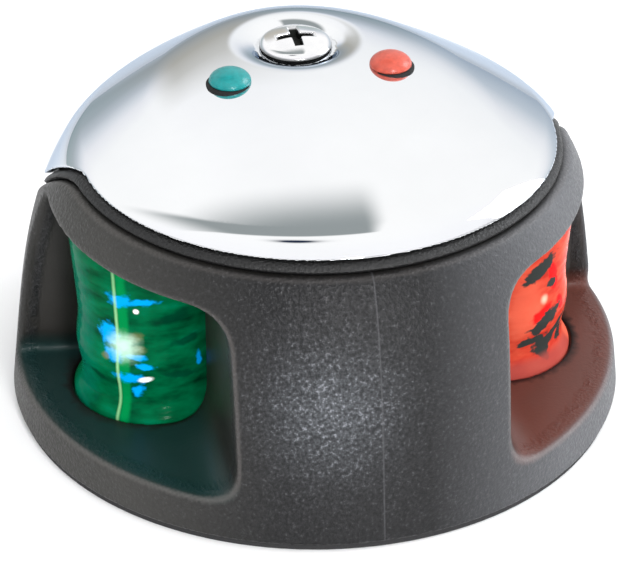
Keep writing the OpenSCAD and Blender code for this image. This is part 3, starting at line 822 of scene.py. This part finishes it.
def circuit_board(name):
    """Green solder mask over a grid of copper tracks."""
    made, tree, shader = material(name)
    tracks = node(tree, "ShaderNodeTexBrick", {
        "Vector": place_of(tree), "Scale": 160.0, "Mortar Size": 0.07,
        "Color1": (0.010, 0.11, 0.045, 1), "Color2": (0.012, 0.13, 0.05, 1), "Mortar": (0.03, 0.24, 0.09, 1)})
    tree.links.new(tracks.outputs["Color"], shader.inputs["Base Color"])
    tree.links.new(ramp(tree, noise(tree, 900.0), (0.3, 0.25), (0.7, 0.35)), shader.inputs["Roughness"])
    shader.inputs["Coat Weight"].default_value = 0.3
    bump(tree, shader, tracks.outputs["Fac"], 0.00003, 0.5)
    return made


def dress(node_names, made):
    """Gives a material to CAD nodes that are shown as they are."""
    for name in node_names:
        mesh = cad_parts[name].data
        mesh.materials.clear()
        mesh.materials.append(made)


def finish_piece(obj, made, body, slot, *nodes):
    """Material, body and replaced CAD nodes of a new piece; the slot is not used."""
    obj.data.materials.append(made)
    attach(obj, body)
    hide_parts(*nodes)


# ---------------------------------------------------------------- pieces

def make_housing():
    """The black body, with marks of where its grain is and where light and shade are painted: edge
    highlights, the column's highlight, lit sides, lit ledges and shadow round the lens seats.
    """
    obj, points = skin("housing_body", housing_field, (-41, -41, 0), (41, 41, 40), step=0.48)
    x, y, z = points.T
    outside = 1 - np.clip((np.abs(side_field(x, y, z)) - 0.3) / 0.6, 0, 1)
    collar = 1 - np.clip((np.abs(side_field(x, y, z, COLLAR_T)) - 0.3) / 0.6, 0, 1)
    paint(obj, "grain", np.maximum(outside, collar))
    # Painted highlight along the window edges and the brow's top edge.
    window_edge = 1 - (np.abs(side_field(x, y, z)) + np.abs(window_field(x, y, z)) - 0.2) / 0.4
    window_edge = window_edge * (1 - np.clip((y + 1.0) / 3.0, 0, 1))
    brow_edge = 1 - (np.abs(side_field(x, y, z)) + np.abs(edge_field(y, z, -SEAL_T - EDGE_GAP)) - 0.2) / 0.3
    paint(obj, "painted_edge_highlight", np.clip(np.maximum(0.75 * window_edge, 0.45 * brow_edge), 0, 0.6))
    # Painted highlight on the front column.
    paint(obj, "painted_highlight", np.exp(-((x + 6.0) / 7.0) ** 2 - ((z - 19.0) / 7.0) ** 2) * (y < 0) * outside)
    # Painted light: warmer on the starboard side, cooler on the port side, both fading aft.
    ahead = np.clip((16.0 - y) / 20.0, 0, 1) * outside
    paint(obj, "painted_warm_side_light", 0.6 * np.clip((-x - 12.0) / 18.0, 0, 1) ** 1.3 * ahead)
    paint(obj, "painted_cool_side_light", 0.42 * np.clip((x - 6.0) / 20.0, 0, 1) * ahead)
    # Painted light of the lenses on the ledges, green to starboard and red to port.
    inside = np.clip(-window_field(x, y, z) + 0.7, 0, 1)
    low = np.clip((9.0 - z) / 2.5, 0, 1) * np.clip((z - LEDGE_Z + 0.8) / 0.6, 0, 1)
    round_lens = np.hypot(np.abs(x) - LENS_X, y - LENS_Y) - POCKET_R
    glow = inside * low * np.clip((round_lens - 0.35) / 0.5, 0, 1)
    # Painted shadow in a ring round each lens's foot on the ledge.
    paint(obj, "seat", inside * low * (1 - np.clip((round_lens - 0.35) / 0.5, 0, 1)))
    paint(obj, "painted_green_lens_light", glow * (x < 0) * 0.95)
    paint(obj, "painted_red_lens_light", glow * (x > 0) * 0.95)
    finish_piece(obj, housing_plastic(), "base", "housing_plastic", "housing")


def make_seal():
    """The rough lip under the cover's edge."""
    low, high = box_mm("cover_seal")
    obj, _ = skin("edge_lip", seal_field, low - 1, high + 1, step=0.3)
    made = grained_plastic("seal_plastic", (0.006, 0.006, 0.006), 1.6)
    finish_piece(obj, made, "base", "seal_plastic", "cover_seal")


def make_cover():
    """The chrome dome."""
    low, high = box_mm("top_cover")
    obj, _ = skin("chrome_dome", cover_field, low - 1, high + 1, step=0.31)
    finish_piece(obj, chrome("chrome_cover"), "cover", "chrome_cover", "top_cover")


def make_screw():
    """The cover's Phillips screw."""
    obj, points = skin("phillips_screw", screw_field, SCREW_LOW - 0.5, SCREW_HIGH + 0.5, step=0.13)
    x, y, z = points.T
    rho = np.hypot(x, y - SCREW_Y)
    cap_r = (HEAD_R ** 2 + CAP_H ** 2) / (2 * CAP_H)
    cap_z = SCREW_HIGH[2] - cap_r + np.sqrt(np.maximum(cap_r ** 2 - rho ** 2, 0.0))
    # Painted shade in the cross recess and on the side of the head.
    recess = np.clip((cap_z - z - 0.12) / 0.25, 0, 1) * (rho < 3.3)
    side = np.clip((rho - HEAD_R + 0.22) / 0.15, 0, 1)
    paint(obj, "painted_shade", np.maximum(recess, side) * (z > HEAD_Z - 0.2))
    finish_piece(obj, screw_metal(), "screw", "screw_chrome", "cover_screw")


def lens_rib(z, height):
    """Fine moulded ribs round a lens wall."""
    return height * math.sin(z * 2 * math.pi / RIB_PITCH)


def lens_outline(z):
    """Outer radius of the lens: foot ring, waist, small barrel, waist, long flare, with fine ribs."""
    heights, drawn_in = zip(*LENS_SHAPE)
    around = np.interp(z - LENS_LOW[2] + np.linspace(-0.7, 0.7, 9), heights, drawn_in)
    return LENS_R - 0.08 - around.mean() + lens_rib(z, 0.012)


def lens_bore(z):
    """Inner radius of the lens wall, with deeper ribs."""
    return LENS_R - LENS_WALL + lens_rib(z, 0.12)


def lens_points(levels, turns):
    """Rows of the starboard lens from its foot up: the outer wall's, then the inner wall's."""
    foot = LENS_LOW[2]
    top = LENS_HIGH[2]
    points = []
    for wall_radius in (lens_outline, lens_bore):
        for level in range(levels + 1):
            z = foot + (top - foot) * level / levels
            radius = wall_radius(z)
            limit = math.acos((LENS_X - LENS_CUT_X) / radius)
            for i in range(turns + 1):
                angle = limit + (2 * math.pi - 2 * limit) * i / turns
                points.append((-LENS_X + radius * math.cos(angle), LENS_Y + radius * math.sin(angle), z))
    return np.array(points)


def lens_faces(levels, turns):
    """Faces over the rows of lens_points: both walls, the two cut ends, the foot and the top."""
    row = turns + 1
    inner = row * (levels + 1)
    faces = []
    for j in range(levels):
        for i in range(turns):
            a = j * row + i
            faces.append((a, a + 1, a + 1 + row, a + row))
            b = inner + a
            faces.append((b, b + row, b + row + 1, b + 1))
        a = j * row
        faces.append((a, a + row, inner + a + row, inner + a))
        a = j * row + turns
        faces.append((a, inner + a, inner + a + row, a + row))
    for i in range(turns):
        faces.append((i, inner + i, inner + i + 1, i + 1))
        a = levels * row + i
        faces.append((a, a + 1, inner + a + 1, inner + a))
    return faces


def make_lens(colour, sign, aim, made):
    """One lens: a D-shaped drum wall, open towards the centre line, lit towards aim in degrees."""
    levels = 200
    turns = 120
    points = lens_points(levels, turns)
    faces = lens_faces(levels, turns)
    if sign > 0:
        points[:, 0] *= -1
        faces = [f[::-1] for f in faces]
    obj = mesh_object(colour + "_drum_lens", points, faces)
    flat = points[:, :2] - np.array([sign * LENS_X, LENS_Y])
    turn = np.arctan2(flat[:, 1], flat[:, 0]) - math.radians(aim)
    turn = (turn + math.pi) % (2 * math.pi) - math.pi
    paint(obj, "across", turn * LENS_R)
    paint(obj, "up", points[:, 2] - middle_mm(colour + "_led")[2])
    finish_piece(obj, made, "base", colour + "_lens", colour + "_lens")


def cap_profile():
    """Tell-tale: a stem, a rim and a small dome."""
    seat = GROMMET_HIGH[2]
    rise = TELLTALE_HIGH[2] - seat
    stem_r = STEM_R - 0.02
    shoulder = seat + CAP_EDGE_H
    profile = [(stem_r, TELLTALE_LOW[2]), (stem_r, seat), (CAP_R - CAP_EDGE_H, seat), (CAP_R, shoulder)]
    steps = 12
    for i in range(1, steps):
        angle = math.pi / 2 * i / steps
        profile.append((CAP_R * math.cos(angle), shoulder + (rise - CAP_EDGE_H) * math.sin(angle)))
    profile.append((0.02, TELLTALE_HIGH[2]))
    return profile


def make_telltale(colour, sign, made):
    """One tell-tale light pipe."""
    obj = lathe(colour + "_light_pipe", cap_profile(), (sign * TELLTALE_X, TELLTALE_Y))
    finish_piece(obj, made, "cover", colour + "_telltale", colour + "_telltale")


def make_grommets():
    """Dark rims under the tell-tales."""
    low = GROMMET_LOW[2]
    high = GROMMET_HIGH[2]
    skirt = 0.9
    profile = [(STEM_R, low - skirt), (RIM_R - 0.1, low - skirt), (RIM_R, low), (RIM_R, high - 0.2),
               (RIM_R - 0.2, high), (STEM_R, high)]
    made = plain_plastic("telltale_rubber", (0.006, 0.006, 0.006), 0.7)
    for colour, sign in (("green", -1), ("red", 1)):
        obj = lathe(colour + "_telltale_rim", profile, (sign * TELLTALE_X, TELLTALE_Y))
        replaced = ["telltale_grommets"] if sign < 0 else []
        finish_piece(obj, made, "cover", "black_rubber", *replaced)


def dress_inside():
    """Materials of the CAD nodes that are shown as they are."""
    dress(["deck_gasket"], plain_plastic("gasket_foam", (0.025, 0.025, 0.026), 0.8, grain=0.0002))
    dress(["base_plate"], grained_plastic("base_plastic", (0.03, 0.03, 0.032)))
    rubber = plain_plastic("black_rubber", (0.015, 0.015, 0.015), 0.55)
    dress(["base_seal", "wire_grommet", "screw_washer"], rubber)
    dress([f"{colour}_lens_{end}_seal" for colour in ("green", "red") for end in ("lower", "upper")], rubber)
    dress(["base_plate_screws", "board_screws"], metal("small_screws", (0.62, 0.62, 0.6), 0.3))
    dress(["threaded_insert"], metal("brass", (0.78, 0.58, 0.25), 0.25))
    dress(["green_baffle", "red_baffle"], plain_plastic("baffle_white", (0.7, 0.72, 0.7), 0.35))
    extruded = metal("heat_sink_aluminium", (0.75, 0.75, 0.77), 0.35, brushed=True)
    dress(["green_heat_sink", "red_heat_sink"], extruded)
    dress(["green_led_board", "red_led_board"], plain_plastic("led_board_white", (0.8, 0.82, 0.8), 0.3, 0.3))
    for colour, glow in (("green", (0.25, 0.95, 0.5)), ("red", (1.0, 0.35, 0.2))):
        gel = plain_plastic(colour + "_led_gel", glow, 0.2, 0.5, emission=3.0)
        dress([colour + "_led", colour + "_indicator_led"], gel)
    dress(["jumper_wires"], plain_plastic("wire_insulation", (0.45, 0.03, 0.03), 0.3, 0.3))
    dress(["driver_board"], circuit_board("circuit_board"))
    dress(["wire_terminal"], plain_plastic("terminal_blue", (0.03, 0.12, 0.45), 0.35, 0.2))
    chips = plain_plastic("chip_black", (0.02, 0.02, 0.02), 0.45)
    dress(["bridge_rectifier", "driver_chip", "chip_resistors"], chips)
    dress(["capacitor"], metal("capacitor_can", (0.6, 0.6, 0.63), 0.25, brushed=True))
    dress(["inductor"], plain_plastic("ferrite", (0.06, 0.06, 0.065), 0.6, grain=0.0001))


# ---------------------------------------------------------------- stage

def make_camera():
    """Camera at the starboard bow, looking down at 32 degrees."""
    data = bpy.data.cameras.new("camera")
    camera = bpy.data.objects.new("camera", data)
    bpy.context.scene.collection.objects.link(camera)
    azimuth = math.radians(-12.4)
    elevation = math.radians(32.2)
    back = Vector((math.sin(azimuth) * math.cos(elevation),
                   -math.cos(azimuth) * math.cos(elevation), math.sin(elevation)))
    target = Vector((0.0, 1.5, 12.9)) * MM
    camera.location = target + back * 0.420
    camera.rotation_mode = "QUATERNION"
    camera.rotation_quaternion = (-back).to_track_quat("-Z", "Y")
    data.lens = 184.2
    data.sensor_width = 36.0
    data.clip_start = 0.01
    data.clip_end = 20.0
    bpy.context.scene.camera = camera


def make_light(name, place, target, width, power, colour=(1, 1, 1)):
    """Soft rectangular studio light."""
    data = bpy.data.lights.new(name, "AREA")
    data.shape = "RECTANGLE"
    data.size = width[0]
    data.size_y = width[1]
    data.energy = power
    data.color = colour
    obj = bpy.data.objects.new(name, data)
    bpy.context.scene.collection.objects.link(obj)
    obj.location = place
    obj.rotation_mode = "QUATERNION"
    obj.rotation_quaternion = (Vector(target) - Vector(place)).to_track_quat("-Z", "Y")
    return obj


def make_floor():
    """Pale studio floor."""
    half = 3.0
    mesh = bpy.data.meshes.new("floor")
    corners = [(-half, -half, 0), (half, -half, 0), (half, half, 0), (-half, half, 0)]
    mesh.from_pydata(corners, [], [(0, 1, 2, 3)])
    floor = bpy.data.objects.new("floor", mesh)
    bpy.context.scene.collection.objects.link(floor)
    floor.location.z = CAD_BOX[0].z - 0.0001
    made, tree, shader = material("floor_paper")
    tree.links.new(ramp(tree, noise(tree, 8.0), (0.3, 0.93), (0.7, 0.95)), shader.inputs["Base Color"])
    shader.inputs["Roughness"].default_value = 0.9
    mesh.materials.append(made)


def wall_colour(tree, x, y, z):
    """Studio walls by height: behind the light, beside that, far to port, and in front."""
    height = math_node(tree, "MAXIMUM", z, 0.0)
    behind = ramp(tree, height, (0.0, (0.58, 0.61, 0.62)), (0.08, (0.44, 0.45, 0.44)),
                  (0.30, (0.50, 0.48, 0.43)), (0.44, (0.62, 0.61, 0.58)), (0.58, (0.97, 0.97, 0.98)),
                  (1.0, (1.0, 1.0, 1.0)))
    aside = ramp(tree, height, (0.0, (0.42, 0.49, 0.49)), (0.15, (0.46, 0.51, 0.53)),
                 (0.23, (0.58, 0.62, 0.66)), (0.29, (0.75, 0.78, 0.82)), (0.35, (0.91, 0.91, 0.94)),
                 (0.45, (1.0, 1.0, 1.0)))
    port = ramp(tree, height, (0.0, (0.58, 0.64, 0.70)), (0.16, (0.66, 0.71, 0.76)),
                (0.30, (0.92, 0.92, 0.94)), (0.40, (1.0, 1.0, 1.0)))
    front = ramp(tree, height, (0.0, (0.50, 0.50, 0.52)), (0.25, (0.55, 0.55, 0.57)),
                 (0.45, (0.97, 0.97, 1.0)), (1.0, (1.0, 1.0, 1.0)))
    colour = mix(tree, soft_step(tree, math_node(tree, "ABSOLUTE", x), 0.08, 0.22), behind, aside)
    colour = mix(tree, soft_step(tree, x, 0.30, 0.45), colour, port)
    return mix(tree, soft_step(tree, y, 0.05, 0.4), front, colour)


def overhead_screen(tree, x, y, z):
    """1 where a screen hangs, overhead and astern."""
    screen = soft_step(tree, y, 0.03, 0.10)
    for socket, low, high in ((y, 0.54, 0.40), (x, -0.75, -0.30), (x, 0.26, 0.20), (z, 0.2, 0.5)):
        screen = math_node(tree, "MULTIPLY", screen, soft_step(tree, socket, low, high))
    return screen


def make_world():
    """White studio with grey low walls, a grey screen overhead and a small dark opening above the bow."""
    world = bpy.data.worlds.new("studio")
    bpy.context.scene.world = world
    world.use_nodes = True
    tree = world.node_tree
    direction = node(tree, "ShaderNodeSeparateXYZ", {
        "Vector": node(tree, "ShaderNodeTexCoord").outputs["Generated"]}).outputs
    x, y, z = (direction[key] for key in "XYZ")
    colour = mix(tree, overhead_screen(tree, x, y, z), wall_colour(tree, x, y, z), (0.30, 0.33, 0.335))
    opening = math_node(tree, "MINIMUM", bell(tree, 1.6, (x, -0.14, 0.10), (y, -0.19, 0.07)), 1.0)
    opening = math_node(tree, "MULTIPLY", opening, soft_step(tree, z, 0.5, 0.8))
    colour = mix(tree, opening, colour, (0.02, 0.03, 0.06))
    background = tree.nodes["Background"]
    tree.links.new(colour, background.inputs["Color"])
    background.inputs["Strength"].default_value = 1.14


def main():
    """Builds the looks and the stage."""
    bpy.context.scene.view_settings.view_transform = "Standard"
    make_camera()
    make_floor()
    make_world()
    key = make_light("key", (-0.1, -0.5, 1.0), (0, 0, 0.02), (0.6, 0.6), 4)
    key.visible_glossy = False
    front = make_light("front", (0.03, -0.5, 0.17), (-0.004, -0.035, 0.016), (0.08, 0.08), 0.10)
    front.data.spread = math.radians(50)
    make_light("port", (0.45, 0.02, 0.24), (0.03, -0.01, 0.025), (0.3, 0.3), 1.5, (0.93, 0.96, 1.0))
    make_housing()
    make_seal()
    make_cover()
    make_screw()
    make_lens("green", -1, -127.0, painted_light_lens("green_lens_painted_light", GREEN_TONES, GREEN_LAYERS, 0.42))
    make_lens("red", 1, -61.0, painted_light_lens("red_lens_painted_light", RED_TONES, RED_LAYERS, 0.32))
    for colour, sign, tint in (("green", -1, (0.0, 0.215, 0.215)), ("red", 1, (0.50, 0.075, 0.045))):
        # The tell-tales are given a faint painted glow.
        gel = plain_plastic(colour + "_telltale_painted_glow", tint, 0.3, 0.1, emission=0.08)
        make_telltale(colour, sign, gel)
    make_grommets()
    dress_inside()


main()
